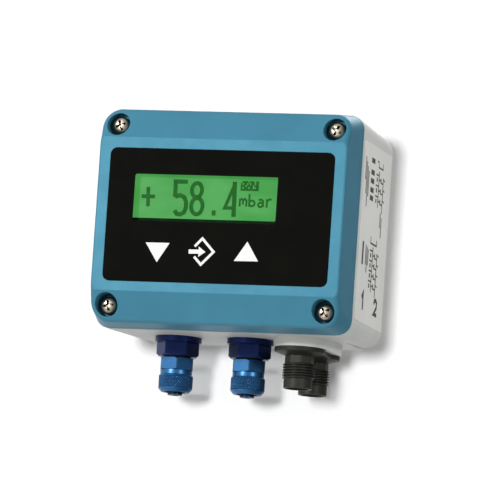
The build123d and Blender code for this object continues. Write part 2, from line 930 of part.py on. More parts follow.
def front_lead():
    y = connector_places[0]
    line = FilletPolyline(
        (connector_x, y, carrier_top),
        (connector_x, y, carrier_top + lead_rise),
        (front_plug_x, plug_y(), front_plug_z - lead_run_in),
        (front_plug_x, plug_y(), front_plug_z),
        radius=lead_bend,
    )
    start = Plane(origin=(connector_x, y, carrier_top), z_dir=(0, 0, 1))
    cable = sweep(start * Circle(lead_radius), path=line)
    return cable + lead_mould(y) - contact_pins(y)


def lead_plug(x, z):
    return Pos(x, plug_y(), z + plug_height / 2) * Box(plug_width, plug_depth, plug_height)


def lead_socket(x, z):
    middle = z + plug_height + lead_socket_height / 2
    return Pos(x, plug_y(), middle) * Box(plug_width + 1, plug_depth, lead_socket_height)


# Side label


def side_label():
    draft = radians(base_draft)
    rearward = (-tan(draft), 1, 0)
    outward = (1, tan(draft), 0)
    wall = Plane(origin=(wall_x(label_y), label_y, label_z), x_dir=rearward, z_dir=outward)
    return extrude(wall * RectangleRounded(label_width, label_height, label_corner), label_thickness)


def all_parts():
    """Every piece of the transmitter by its name."""
    socket_back = display_board_back + socket_depth
    socket_front = main_board_front - socket_depth
    parts = {
        "housing_base": housing_base(),
        "front_lid": front_lid(),
        "lid_gasket": gasket_ring(parting_y, parting_y + gasket_depth, slip_gap),
        "lid_screws": joined(lid_screw(place, turn) for place, turn in zip(screw_places, cross_turns)),
        "screw_seals": joined(screw_seal(place) for place in screw_places),
        "lid_inserts": joined(lid_insert(place) for place in screw_places),
        "mounting_inserts": joined(mounting_insert(place) for place in mount_places),
        "front_foil": front_foil(),
        "window_pane": window_pane(),
        "display_glass": display_glass(),
        "display_backlight": display_backlight(),
        "display_board": display_board(),
        "display_board_screws": joined(display_board_screw(place) for place in display_screw_places),
        "key_switches": joined(key_switch(x) for x in key_places),
        "ribbon_sockets": joined(
            [
                ribbon_socket(display_board_back, socket_back, ribbon_low_z),
                ribbon_socket(socket_front, main_board_front, ribbon_high_z),
            ]
        ),
        "board_ribbon": board_ribbon(),
        "main_board": main_board(),
        "main_board_screws": joined(main_board_screw(place) for place in main_screw_places),
        "relays": joined(relay(z) for z in relay_places),
        "capacitors": joined(capacitor(z) for z in capacitor_places),
        "board_chips": joined(chip(place) for place in chip_places),
        "pressure_cell": pressure_cell(),
        "port_seals": joined(port_seal(x) for x in port_places),
        "port_lock_nuts": joined(port_lock_nut(x) for x in port_places),
        "fitting_seals": joined(fitting_seal(x) for x in port_places),
        "connector_block": connector_block(),
        "connector_gasket": connector_gasket(),
        "contact_carriers": joined(contact_carrier(y) for y in connector_places),
        "contact_pins": joined(pin for y in connector_places for pin in contact_pins(y)),
        "connector_screw": connector_screw(),
        "connector_lead_front": front_lead(),
        "connector_lead_rear": rear_lead(),
        "lead_plugs": joined([lead_plug(connector_x, rear_plug_z), lead_plug(front_plug_x, front_plug_z)]),
        "lead_sockets": joined([lead_socket(connector_x, rear_plug_z), lead_socket(front_plug_x, front_plug_z)]),
        "side_label": side_label(),
    }
    for name, x in zip(key_names, key_places):
        parts["key_plunger_" + name] = key_plunger(x)
        parts["switch_button_" + name] = switch_button(x)
    for number, (x, stub_x) in enumerate(zip(port_places, cell_stub_places), 1):
        parts[f"port_adapter_{number}"] = port_adapter(x)
        parts[f"hose_fitting_{number}"] = hose_fitting(x)
        parts[f"clamp_ring_{number}"] = clamp_ring(x)
        parts[f"union_nut_{number}"] = union_nut(x)
        parts[f"pressure_hose_{number}"] = pressure_hose(x, stub_x)
    return parts


os.makedirs("parts", exist_ok=True)
for node, shape in all_parts().items():
    export_step(shape, f"parts/{node}.step")
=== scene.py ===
import json
from math import acos, cos, degrees, floor, hypot, pi, radians, sin, sqrt, tan

import bpy
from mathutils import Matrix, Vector
from mathutils.geometry import tessellate_polygon


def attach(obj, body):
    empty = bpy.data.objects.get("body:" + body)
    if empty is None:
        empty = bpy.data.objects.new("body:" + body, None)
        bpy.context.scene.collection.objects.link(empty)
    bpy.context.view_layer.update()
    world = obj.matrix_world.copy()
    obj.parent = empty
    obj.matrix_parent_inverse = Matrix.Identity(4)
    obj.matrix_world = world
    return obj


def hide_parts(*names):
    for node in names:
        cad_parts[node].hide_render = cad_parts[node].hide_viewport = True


# The looks of a differential pressure transmitter: camera, light, materials and the fine shapes.
# Lengths are in millimetres and turned into metres where the mesh is made. Angles are in degrees.

MM = 0.001

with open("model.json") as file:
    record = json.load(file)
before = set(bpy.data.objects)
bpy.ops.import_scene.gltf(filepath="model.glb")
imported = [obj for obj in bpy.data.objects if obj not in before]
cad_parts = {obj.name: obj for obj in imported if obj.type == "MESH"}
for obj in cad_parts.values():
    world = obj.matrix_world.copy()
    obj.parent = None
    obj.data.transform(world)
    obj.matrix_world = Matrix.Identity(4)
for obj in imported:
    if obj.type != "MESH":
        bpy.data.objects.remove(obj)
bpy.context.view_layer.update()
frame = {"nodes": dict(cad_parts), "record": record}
nodes = frame["nodes"]

# Places shared with the solids
front_y = -63.0
port_places = (-24.3, 3.8)
port_y = -23.0
connector_x = 26.1
connector_places = (-33.2, -12.8)
screw_places = ((-41.7, 33.8), (41.7, 33.8), (41.7, -33.8), (-41.7, -33.8))
screw_turns = (20.0, 62.0, 35.0, 8.0)
screw_seat = -56.0
foil_front = -62.95
glass_front = -60.0
parting_y = -48.0
side_x = 49.6
side_draft = 1.8
label_y = -24.1
label_z = -0.8
label_thickness = 0.12
fitting_top = -35.0
hexagon_low = -53.25
nut_low = -61.6
nipple_low = -65.0


# Camera


def make_camera():
    """A long lens from 2.7 m away; the object lies left of the picture's middle and above it."""
    azimuth, elevation, roll = radians(16.419), radians(-7.178), radians(-3.848)
    distance = 2702.7
    aim_right, aim_up = 11.63, -12.441
    back = Vector((sin(azimuth) * cos(elevation), -cos(azimuth) * cos(elevation), sin(elevation)))
    level = Vector((cos(azimuth), sin(azimuth), 0))
    above = back.cross(level)
    right = cos(roll) * level - sin(roll) * above
    up = sin(roll) * level + cos(roll) * above
    camera = bpy.data.objects.new("camera", bpy.data.cameras.new("camera"))
    bpy.context.scene.collection.objects.link(camera)
    camera.location = (Vector((0, front_y, 0)) + back * distance + right * aim_right + up * aim_up) * MM
    turn = camera.matrix_world.to_3x3()
    turn.col[0], turn.col[1], turn.col[2] = right, up, back
    camera.rotation_euler = turn.to_euler()
    camera.data.sensor_width = 36
    camera.data.lens = 527.35
    camera.data.clip_end = 20
    bpy.context.scene.camera = camera


# Materials


def linear(color):
    """A colour given as 0 to 255 on the screen, as the linear values that shaders take."""
    parts = [c / 255 for c in color]
    return tuple(c / 12.92 if c <= 0.04045 else ((c + 0.055) / 1.055) ** 2.4 for c in parts)


class Recipe:
    """A material with its own procedural colour, roughness and relief."""

    def __init__(self, name, roughness, metallic=0.0, specular=0.5):
        self.material = bpy.data.materials.new(name)
        self.material.use_nodes = True
        self.tree = self.material.node_tree
        self.shader = self.tree.nodes["Principled BSDF"]
        self.set("Roughness", roughness)
        self.set("Metallic", metallic)
        self.set("Specular IOR Level", specular)
        self.place = self.node("ShaderNodeTexCoord").outputs["Object"]
        self.color = None
        self.relief = None

    def set(self, socket, value):
        """A value that is the same all over the surface."""
        self.shader.inputs[socket].default_value = value

    def node(self, kind, **values):
        made = self.tree.nodes.new(kind)
        for key, value in values.items():
            setattr(made, key, value)
        return made

    def link(self, output, target):
        self.tree.links.new(output, target)

    def noise(self, size, detail=3.0, stretch=(1, 1, 1)):
        """Noise whose blobs are about this many millimetres across."""
        mapping = self.node("ShaderNodeMapping")
        mapping.inputs["Scale"].default_value = [1 / (size * MM * s) for s in stretch]
        self.link(self.place, mapping.inputs["Vector"])
        noise = self.node("ShaderNodeTexNoise")
        noise.inputs["Scale"].default_value = 1.0
        noise.inputs["Detail"].default_value = detail
        self.link(mapping.outputs["Vector"], noise.inputs["Vector"])
        return noise.outputs["Fac"]

    def paint(self, color):
        """A node's colour as the base colour."""
        self.color = color
        self.link(color, self.shader.inputs["Base Color"])

    def colors(self, value, low, high, start=0.35, end=0.65):
        """The base colour, run from one colour to the other by a value."""
        ramp = self.node("ShaderNodeValToRGB")
        ramp.color_ramp.elements[0].position = start
        ramp.color_ramp.elements[1].position = end
        ramp.color_ramp.elements[0].color = (*linear(low), 1)
        ramp.color_ramp.elements[1].color = (*linear(high), 1)
        self.link(value, ramp.inputs["Fac"])
        self.paint(ramp.outputs["Color"])

    def spread(self, value, low, high, start=0.3, end=0.7):
        """A value mapped onto another range."""
        spread = self.node("ShaderNodeMapRange")
        spread.inputs["From Min"].default_value = start
        spread.inputs["From Max"].default_value = end
        spread.inputs["To Min"].default_value = low
        spread.inputs["To Max"].default_value = high
        self.link(value, spread.inputs["Value"])
        return spread.outputs["Result"]

    def rough(self, value, low, high):
        """The roughness, run between two levels by a value."""
        self.link(self.spread(value, low, high), self.shader.inputs["Roughness"])

    def crevice_shade(self, width, darkest):
        """Painted shade: the colour darkened by ambient occlusion in grooves and recesses about this many
        millimetres wide.
        """
        hollow = self.node("ShaderNodeAmbientOcclusion", samples=8, only_local=True)
        hollow.inputs["Distance"].default_value = width * MM
        self.darken(self.spread(hollow.outputs["AO"], darkest, 1.0, 0.35, 0.85))

    def darken(self, shade):
        """The colour multiplied by a value."""
        mix = self.node("ShaderNodeMix", data_type="RGBA", blend_type="MULTIPLY")
        mix.inputs["Factor"].default_value = 1.0
        self.link(self.color, mix.inputs["A"])
        self.link(shade, mix.inputs["B"])
        self.paint(mix.outputs["Result"])

    def bands(self, low, high, steps):
        """Bands along Z between two heights, each (height where it starts, level of the colour)."""
        parts = self.node("ShaderNodeSeparateXYZ")
        self.link(self.place, parts.inputs["Vector"])
        ramp = self.node("ShaderNodeValToRGB")
        ramp.color_ramp.interpolation = "CONSTANT"
        while len(ramp.color_ramp.elements) < len(steps):
            ramp.color_ramp.elements.new(1.0)
        for element, (height, level) in zip(ramp.color_ramp.elements, steps):
            element.position = (height - low) / (high - low)
            element.color = (level, level, level, 1)
        self.link(self.spread(parts.outputs["Z"], 0.0, 1.0, low * MM, high * MM), ramp.inputs["Fac"])
        self.darken(ramp.outputs["Color"])

    def bump(self, value, height, strength=1.0):
        """Relief of this height in millimetres, on top of any that is there."""
        bump = self.node("ShaderNodeBump")
        bump.inputs["Distance"].default_value = height * MM
        bump.inputs["Strength"].default_value = strength
        self.link(value, bump.inputs["Height"])
        if self.relief:
            self.link(self.relief, bump.inputs["Normal"])
        self.relief = bump.outputs["Normal"]
        self.link(self.relief, self.shader.inputs["Normal"])

    def glow(self, strength):
        """Light of the base colour, as from a lamp behind."""
        self.link(self.color, self.shader.inputs["Emission Color"])
        self.set("Emission Strength", strength)


def moulded(name, low, high, roughness, grain=0.35, height=0.012, specular=0.5):
    """Moulded plastic with a fine eroded texture and faint clouds of colour."""
    recipe = Recipe(name, roughness, specular=specular)
    recipe.colors(recipe.noise(18, 2.0), low, high)
    recipe.bump(recipe.noise(grain, 2.0), height)
    recipe.rough(recipe.noise(6), roughness - 0.04, roughness + 0.04)
    return recipe


def metal(name, low, high, roughness, stretch=(1, 1, 0.08), height=0.004):
    """Turned or drawn metal with fine tool marks round its axis."""
    recipe = Recipe(name, roughness, metallic=1.0)
    recipe.colors(recipe.noise(5), low, high)
    recipe.rough(recipe.noise(2.5, 4.0, stretch), roughness - 0.05, roughness + 0.07)
    recipe.bump(recipe.noise(1.2, 3.0, stretch), height)
    return recipe


def anodised(name, low, high):
    """Dyed aluminium: a satin metal under a thin clear layer; painted shade darkens its grooves and the
    nipple ends below the nuts, and the hexagons are a little darker.
    """
    recipe = metal(name, low, high, 0.36, height=0.002)
    recipe.set("Metallic", 0.8)
    recipe.set("Specular IOR Level", 0.3)
    recipe.set("Coat Weight", 0.08)
    recipe.set("Coat Roughness", 0.2)
    # Painted shade in the knurl and other narrow grooves.
    recipe.crevice_shade(0.5, 0.1)
    # Painted shade on the nipple ends below the nuts; the band from the hexagons up is only made a little
    # darker.
    recipe.bands(nipple_low, fitting_top, ((nipple_low, 0.2), (nut_low, 1.0), (hexagon_low, 0.78)))
    return recipe.material


def lid_material():
    """Blue moulded plastic whose satin gloss is tinted by its colour, with painted shade deep in the screw
    counterbores.
    """
    recipe = moulded("lid_blue", (62, 123, 147), (66, 129, 153), 0.5, specular=0.9)
    recipe.set("Specular Tint", (*linear((150, 225, 250)), 1))
    # Painted shade in the deep screw counterbores.
    recipe.crevice_shade(6.0, 0.12)
    return recipe.material


def display_material():
    """Backlit display glass with faint clouds."""
    recipe = Recipe("display_green", 0.3, specular=0.1)
    recipe.colors(recipe.noise(9, 1.0, (1.6, 1, 0.8)), (26, 74, 29), (34, 80, 36), 0.3, 0.7)
    recipe.bump(recipe.noise(0.3, 1.0), 0.001)
    recipe.glow(4.5)
    return recipe.material


def character_material():
    """The dark segments of the display, through which a little of the green shows."""
    recipe = Recipe("display_dark", 0.3, specular=0.04)
    recipe.colors(recipe.noise(2.5, 2.0), (7, 42, 9), (11, 47, 13))
    recipe.glow(4.5)
    return recipe.material


def border_shade_material():
    """The dark edge of the display glass round its lit field, which does not glow; its wider strips along
    the bottom and the right are painted shade from the window's edge.
    """
    recipe = Recipe("shaded_display_border", 0.4, specular=0.02)
    recipe.colors(recipe.noise(4, 2.0), (10, 38, 17), (16, 50, 24))
    return recipe.material


def window_material():
    """Clear film: almost nothing but its gloss."""
    recipe = Recipe("clear_window", 0.06, specular=0.05)
    recipe.colors(recipe.noise(30, 1.0), (6, 9, 6), (12, 16, 12))
    recipe.set("Alpha", 0.05)
    recipe.material.surface_render_method = "BLENDED"
    return recipe.material


def foil_material():
    """Black polyester film with a hard, slightly wavy gloss."""
    recipe = Recipe("foil_black", 0.08, specular=0.03)
    recipe.colors(recipe.noise(12, 2.0), (13, 14, 11), (16, 17, 13))
    recipe.bump(recipe.noise(9, 1.0), 0.003)
    recipe.rough(recipe.noise(4), 0.06, 0.1)
    return recipe.material


def board_material():
    """Solder mask over copper areas, which show as lighter fields with straight edges."""
    recipe = Recipe("board_green", 0.35)
    swap = recipe.node("ShaderNodeMapping")
    swap.inputs["Rotation"].default_value = (pi / 2, 0, 0)
    recipe.link(recipe.place, swap.inputs["Vector"])
    brick = recipe.node("ShaderNodeTexBrick")
    brick.inputs["Scale"].default_value = 260
    brick.inputs["Mortar Size"].default_value = 0.05
    brick.inputs["Color1"].default_value = (*linear((24, 92, 46)), 1)
    brick.inputs["Color2"].default_value = (*linear((30, 112, 56)), 1)
    brick.inputs["Mortar"].default_value = (*linear((16, 66, 34)), 1)
    recipe.link(swap.outputs["Vector"], brick.inputs["Vector"])
    recipe.paint(brick.outputs["Color"])
    recipe.bump(brick.outputs["Fac"], 0.02, 0.4)
    return recipe.material


def ink(name, low, high):
    """Printing ink with slightly uneven cover."""
    recipe = Recipe(name, 0.4, specular=0.3)
    recipe.colors(recipe.noise(1.5), low, high)
    return recipe.material


def connector_material():
    """Black glass-filled plastic, dull, with painted shade in its thread grooves."""
    recipe = moulded("connector_black", (42, 42, 37), (50, 51, 45), 0.46, 0.3, 0.012, specular=0.2)
    # Painted shade in the thread grooves.
    recipe.crevice_shade(0.55, 0.03)
    return recipe.material


def steel_material():
    """Bright, slightly brownish screw steel, with painted shade that darkens its cross recess."""
    recipe = metal("steel", (150, 141, 126), (176, 167, 152), 0.3, (1, 0.2, 1))
    # Painted shade in the cross recess.
    recipe.crevice_shade(1.3, 0.06)
    return recipe.material


materials = {
    "housing_grey": moulded("housing_grey", (212, 214, 210), (220, 221, 217), 0.5).material,
    "lid_blue": lid_material(),
    "foil_black": foil_material(),
    "clear_window": window_material(),
    "display_green": display_material(),
    "light_guide": moulded("light_guide", (226, 232, 226), (238, 242, 236), 0.35).material,
    "board_green": board_material(),
    "part_black": moulded("part_black", (26, 26, 27), (34, 34, 35), 0.5).material,
    "part_white": moulded("part_white", (220, 220, 212), (232, 232, 224), 0.45).material,
    "key_grey": moulded("key_grey", (140, 142, 146), (152, 154, 158), 0.5).material,
    "relay_blue": moulded("relay_blue", (24, 72, 150), (34, 84, 164), 0.35).material,
    "steel": steel_material(),
    "brass": metal("brass", (186, 148, 78), (206, 168, 96), 0.3).material,
    "gold_pin": metal("gold_pin", (216, 176, 88), (230, 192, 104), 0.22).material,
    "rubber_black": moulded("rubber_black", (22, 22, 22), (30, 30, 29), 0.75, 0.25, 0.008).material,
    "silicone": moulded("silicone", (204, 202, 190), (216, 214, 204), 0.4, 0.5, 0.01).material,
    "cable_grey": moulded("cable_grey", (74, 75, 78), (86, 87, 90), 0.5, 0.3, 0.01).material,
    "dark_anodised": anodised("dark_anodised", (20, 40, 94), (25, 47, 106)),
    "light_anodised": anodised("light_anodised", (46, 98, 147), (56, 110, 160)),
    "cell_metal": metal("cell_metal", (176, 178, 182), (196, 198, 200), 0.35).material,
    "connector_black": connector_material(),
    "label_white": moulded("label_white", (232, 233, 228), (238, 239, 234), 0.4, 0.25, 0.003).material,
}

ink_white = ink("ink_white", (236, 236, 234), (246, 246, 244))
ink_black = ink("ink_black", (22, 22, 21), (34, 34, 32))
character_dark = character_material()
border_shade_green = border_shade_material()


def dress_nodes():
    """Gives each solid the material of its slot."""
    slots = {part["node"]: part["material_slot"] for part in frame["record"]["subparts"]}
    for name, solid in nodes.items():
        solid.data.materials.clear()
        solid.data.materials.append(materials[slots[name]])


# Mesh building


class Shape:
    """Points and faces in millimetres that become one piece."""

    def __init__(self):
        self.points = []
        self.faces = []

    def add(self, points, faces):
        start = len(self.points)
        self.points += [tuple(p) for p in points]
        self.faces += [tuple(start + i for i in face) for face in faces]

    def piece(self, name, material, body, smooth=30.0):
        """One object of these points and faces, with edges sharp above this angle."""
        mesh = bpy.data.meshes.new(name)
        mesh.from_pydata([[c * MM for c in p] for p in self.points], [], self.faces)
        mesh.validate()
        mesh.update()
        mesh.shade_smooth()
        mesh.set_sharp_from_angle(angle=radians(smooth))
        mesh.materials.append(material)
        made = bpy.data.objects.new(name, mesh)
        bpy.context.scene.collection.objects.link(made)
        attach(made, body)
        return made


def area(loop):
    """The signed area of a flat loop."""
    return sum(a[0] * b[1] - b[0] * a[1] for a, b in zip(loop, loop[1:] + loop[:1])) / 2


def facing(loops):
    """The same loops with the outline running left-handed and the holes right-handed."""
    outline = loops[0] if area(loops[0]) > 0 else loops[0][::-1]
    return [outline] + [hole if area(hole) < 0 else hole[::-1] for hole in loops[1:]]


def filled(loops):
    """The corners of an outline with holes, and the triangles that fill it, turned upward."""
    flat = [p for loop in loops for p in loop]
    triangles = []
    for a, b, c in tessellate_polygon([[Vector((u, v, 0)) for u, v in loop] for loop in loops]):
        upward = area([flat[a], flat[b], flat[c]]) > 0
        triangles.append((a, b, c) if upward else (c, b, a))
    return flat, triangles


def plate(shape, loops, place, low, high):
    """A flat plate with an outline and holes; place(u, v, w) gives a point at height w."""
    rings = facing(loops)
    flat, triangles = filled(rings)
    count = len(flat)
    points = [place(u, v, high) for u, v in flat] + [place(u, v, low) for u, v in flat]
    faces = triangles + [(count + c, count + b, count + a) for a, b, c in triangles]
    start = 0
    for ring in rings:
        size = len(ring)
        for i in range(size):
            j = (i + 1) % size
            faces.append((start + i, count + start + i, count + start + j, start + j))
        start += size
    shape.add(points, faces)


def deck(shape, loops, height, upward=True):
    """A level face with an outline and holes."""
    flat, triangles = filled(loops)
    faces = triangles if upward else [t[::-1] for t in triangles]
    shape.add([(x, y, height) for x, y in flat], faces)


def skin(shape, rings, cap=False):
    """A surface through rings that run left-handed about the way they are stacked."""
    count = len(rings[0])
    faces = []
    for row in range(len(rings) - 1):
        for i in range(count):
            j = (i + 1) % count
            faces.append((row * count + i, row * count + j, (row + 1) * count + j, (row + 1) * count + i))
    if cap:
        faces.append(tuple((len(rings) - 1) * count + i for i in range(count)))
    shape.add([p for ring in rings for p in ring], faces)


def wall(shape, loop, low, high):
    """An upright wall along a loop, facing out of a left-handed loop and into a right-handed one."""
    skin(shape, [[(x, y, height) for x, y in loop] for height in (low, high)])


def arc(x, y, radius, start, end, steps):
    """Points along an arc."""
    angles = [radians(start + (end - start) * i / steps) for i in range(steps + 1)]
    return [(x + radius * cos(a), y + radius * sin(a)) for a in angles]


def circle(x, y, radius, steps=48):
    """Points round a whole circle."""
    return arc(x, y, radius, 0, 360 - 360 / steps, steps - 1)


def ribbon(points, width, closed=False):
    """The outline of a line drawn with this width: one loop, or two when the line is closed."""
    count = len(points)
    left, right = [], []
    for i, (x, y) in enumerate(points):
        before = points[i - 1] if closed or i > 0 else points[i]
        after = points[(i + 1) % count] if closed or i < count - 1 else points[i]
        first = Vector((x - before[0], y - before[1]))
        second = Vector((after[0] - x, after[1] - y))
        first = second if first.length < 1e-9 else first
        second = first if second.length < 1e-9 else second
        first.normalize()
        second.normalize()
        middle = (first + second).normalized()
        across = Vector((-middle.y, middle.x)) * (width / 2 / max(middle.dot(first), 0.35))
        left.append((x + across.x, y + across.y))
        right.append((x - across.x, y - across.y))
    if closed:
        return [left, right] if abs(area(left)) > abs(area(right)) else [right, left]
    return [right + left[::-1]]


def revolve(shape, path, x, y, steps=96):
    """Turns a closed path of (radius, height) round an upright axis; a radius may depend on the angle."""
    rows = len(path)
    points = []
    for step in range(steps):
        angle = 2 * pi * step / steps
        for radius, height in path:
            r = radius(angle, height) if callable(radius) else radius
            points.append((x + r * cos(angle), y + r * sin(angle), height))
    faces = []
    for step in range(steps):
        after = (step + 1) % steps
        for row in range(rows):
            below = (row + 1) % rows
            corners = ((step, row), (after, row), (after, below), (step, below))
            faces.append(tuple(column * rows + place for column, place in corners))
    shape.add(points, faces)


def between(start, end, count):
    """Evenly spaced values, both ends included."""
    return [start + (end - start) * i / count for i in range(count + 1)]


# Connector block with its threads and eight-sided necks


face_z = -44.6
rim_z = -46.3
flange_z = -47.5
neck_z = -50.3
thread_z = -56.3
disc_radius = 9.5
waist = 8.0
neck_corner = 5.45
thread_radius = 6.0
thread_depth = 0.72
thread_pitch = 1.0
thread_end = 0.35
bore_radius = 4.3
bore_opening = 5.0
groove_outer = 7.7
groove_inner = 6.7
groove_z = -45.5
screw_radius = 1.6
screw_z = -46.9
pad_radius = 3.2


def thread_wall(angle, height):
    """The radius of the thread's surface, running out at both ends."""
    turn = (height / thread_pitch - angle / (2 * pi)) % 1.0
    ridge = min(1.0, max(0.0, 1.5 - abs(turn - 0.5) * 3.8))
    end = min(neck_z - height, height - thread_z)
    return thread_radius - thread_depth + thread_depth * ridge * min(1.0, end / thread_end)


def neck_wall(angle, height):
    """The radius of an eight-sided neck whose flats face the axes."""
    sector = pi / 4
    inside = (angle + sector / 2) % sector - sector / 2
    return min(neck_corner * cos(sector / 2) / cos(inside), neck_corner - 0.08)


def shell_path():
    """The section of a connector shell, from the spigot inside the housing down to its tip."""
    path = [(bore_radius, -38.0), (6.2, -38.0), (6.4, -38.2), (6.4, -45.6), (9.0, -46.0), (9.1, rim_z)]
    path += [(neck_corner, flange_z), (neck_wall, flange_z - 0.02), (neck_wall, neck_z + 0.05)]
    path += [(thread_wall, height) for height in between(neck_z, thread_z, 96)]
    path += [(5.35, -56.35), (5.35, -59.55), (5.15, -59.75), (4.5, -59.75), (bore_radius, -59.55)]
    return path


def flange_outline(inset=0.0):
    """Two discs joined by a web that is a little narrower."""
    radius = disc_radius - inset
    notch = degrees(acos((waist - inset) / radius))
    front = arc(connector_x, connector_places[0], radius, 180 - notch, 360 + notch, 40)
    return front + arc(connector_x, connector_places[1], radius, -notch, 180 + notch, 40)


def oval(radius):
    """Half circles round both shells, joined by straight lines."""
    front = arc(connector_x, connector_places[0], radius, 180, 360, 24)
    return front + arc(connector_x, connector_places[1], radius, 0, 180, 24)


def flange(shape):
    """The flange: a groove for its gasket on top, a soft lower edge, and a pad for the screw."""
    bores = [circle(connector_x, y, bore_opening)[::-1] for y in connector_places]
    screw_hole = circle(connector_x, port_y, screw_radius)
    pad = circle(connector_x, port_y, pad_radius)
    deck(shape, [flange_outline(), oval(groove_outer)[::-1]], face_z)
    wall(shape, oval(groove_outer)[::-1], groove_z, face_z)
    deck(shape, [oval(groove_outer), oval(groove_inner)[::-1]], groove_z)
    wall(shape, oval(groove_inner), groove_z, face_z)
    deck(shape, [oval(groove_inner), *bores, screw_hole[::-1]], face_z)
    wall(shape, screw_hole[::-1], screw_z, face_z)
    deck(shape, [screw_hole], screw_z)
    edge = ((0.4, rim_z), (0.12, rim_z + 0.12), (0.0, rim_z + 0.4), (0.0, face_z))
    skin(shape, [[(x, y, height) for x, y in flange_outline(inset)] for inset, height in edge])
    for bore in bores:
        wall(shape, bore, rim_z, face_z)
    deck(shape, [flange_outline(0.4), *bores, pad[::-1]], rim_z, upward=False)
    wall(shape, pad, flange_z, rim_z)
    deck(shape, [pad], flange_z, upward=False)


def box_between(shape, low, high, x, y):
    """A box from its two corners, moved to a place."""
    (x0, y0, z0), (x1, y1, z1) = low, high
    corners = [(u, v, w) for w in (z0, z1) for u, v in ((x0, y0), (x1, y0), (x1, y1), (x0, y1))]
    faces = [(3, 2, 1, 0), (4, 5, 6, 7), (0, 1, 5, 4), (1, 2, 6, 5), (2, 3, 7, 6), (3, 0, 4, 7)]
    shape.add([(x + u, y + v, w) for u, v, w in corners], faces)


def connector_body():
    """The flange and both shells, each with the key of its plug."""
    shape = Shape()
    flange(shape)
    for y in connector_places:
        revolve(shape, shell_path(), connector_x, y, 160)
        box_between(shape, (-0.6, 3.7, -58.65), (0.6, 4.4, -51.55), connector_x, y)
    made = shape.piece("connector_body", materials["connector_black"], "housing")
    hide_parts("connector_block")


# Knurled union nuts


drum_radius = 6.4
knurl_count = 36
knurl_pitch = 1.1
knurl_depth = 0.34
knurl_top = -55.45
knurl_low = -60.1
knurl_end = 0.25
knurl_flank = 1.6


def knurl_wall(angle, height):
    """The radius of the knurled drum: small pyramids between two sets of slanting grooves."""
    across = angle * knurl_count / (2 * pi)
    along = height / knurl_pitch
    rise = 1.0
    for slant in (across + along, across - along):
        part = slant - floor(slant)
        rise = min(rise, (1 - abs(2 * part - 1)) * knurl_flank)
    end = min(knurl_top - height, height - knurl_low)
    return drum_radius - knurl_depth * min(1.0, max(0.0, end / knurl_end)) * (1 - rise)


def nut_path():
    """The section of a union nut: its bore, its collar, the knurled drum and the turned lower end."""
    path = [(5.05, -60.2), (5.05, -53.35), (5.15, -53.3), (5.8, -53.3), (5.92, -53.36), (5.95, -53.5)]
    path += [(5.95, -55.0), (6.05, -55.05), (6.34, -55.34), (drum_radius, knurl_top)]
    path += [(knurl_wall, height) for height in between(knurl_top - 0.02, knurl_low + 0.02, 56)]
    path += [(drum_radius, knurl_low), (6.36, -60.22), (6.28, -60.34), (5.42, -61.36), (5.25, -61.5)]
    path += [(4.25, -61.5), (4.1, -61.35), (4.1, -60.2)]
    return path


def union_nut(number, x):
    """The nut of one port, which turns and travels with its own body."""
    shape = Shape()
    revolve(shape, nut_path(), x, port_y, 288)
    slot = "light_anodised"
    made = shape.piece(f"knurled_nut_{number}", materials[slot], f"nut_{number}", 40)
    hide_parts(f"union_nut_{number}")


# Lid screws with domed heads and a cross recess


head_radius = 3.15
head_side = 1.1
head_dome = 1.2
recess_reach = 2.0
recess_depth = 1.2
arm_half_width = 0.55
arm_taper = 0.06
arm_side_slope = 0.12
arm_end_slope = 0.5
pit_radius = 0.9
pit_slope = 0.3
shank_radius = 2.0
shank_length = 16.0
tip_radius = 1.4
tip_length = 0.6


def recess(u, v):
    """How deep the cross recess is at this place on the head."""
    deepest = 0.0
    for along, across in ((u, v), (v, u)):
        side = min(1.0, max(0.0, (arm_half_width - arm_taper * abs(along) - abs(across)) / arm_side_slope))
        end = min(1.0, max(0.0, (recess_reach - abs(along)) / arm_end_slope))
        deepest = max(deepest, side * end)
    pit = min(1.0, max(0.0, (pit_radius - hypot(u, v)) / pit_slope))
    return recess_depth * max(deepest, pit)


def lid_screw(shape, x, z, turn):
    """A screw along Y with its domed head to the front."""
    steps, rings = 120, 56
    turned = radians(turn)
    rim = [(cos(a), -sin(a)) for a in between(0.0, 2 * pi, steps)[:-1]]
    rows = []
    for ring in between(1.0, rings, rings - 1):
        radius = head_radius * ring / rings
        dome = head_side + head_dome * sqrt(max(0.0, 1 - (ring / rings) ** 2.6))
        row = []
        for u, v in ((radius * c, radius * s) for c, s in rim):
            cut = recess(u * cos(turned) + v * sin(turned), v * cos(turned) - u * sin(turned))
            row.append((x + u, screw_seat - dome + cut, z + v))
        rows.append(row)
    taper = shank_length - tip_length
    shank = ((head_radius, 0.0), (shank_radius, 0.0), (shank_radius, taper), (tip_radius, shank_length))
    for radius, depth in shank:
        rows.append([(x + radius * c, screw_seat + depth, z + radius * s) for c, s in rim])
    start = len(shape.points)
    skin(shape, rows, cap=True)
    centre = len(shape.points)
    shape.add([(x, screw_seat - head_side - head_dome + recess_depth, z)], [])
    shape.faces += [(centre, start + (step + 1) % steps, start + step) for step in range(steps)]


def lid_screws():
    """The four screws of the lid, each left at its own turn."""
    shape = Shape()
    for (x, z), turn in zip(screw_places, screw_turns):
        lid_screw(shape, x, z, turn)
    made = shape.piece("cross_screws", materials["steel"], "housing")
    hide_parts("lid_screws")


# Display


lit_field = (-34.6, -0.95, 21.05, 16.4)
lit_corner = 0.5
glass_area = (-36.5, -4.6, 25.4, 17.3)
letter_width = 0.75
dot_width = 0.6
dot_height = 0.74


def on_glass(u, v, w):
    """A point on the display glass, u to the right and v up."""
    return (u, glass_front - w, v)


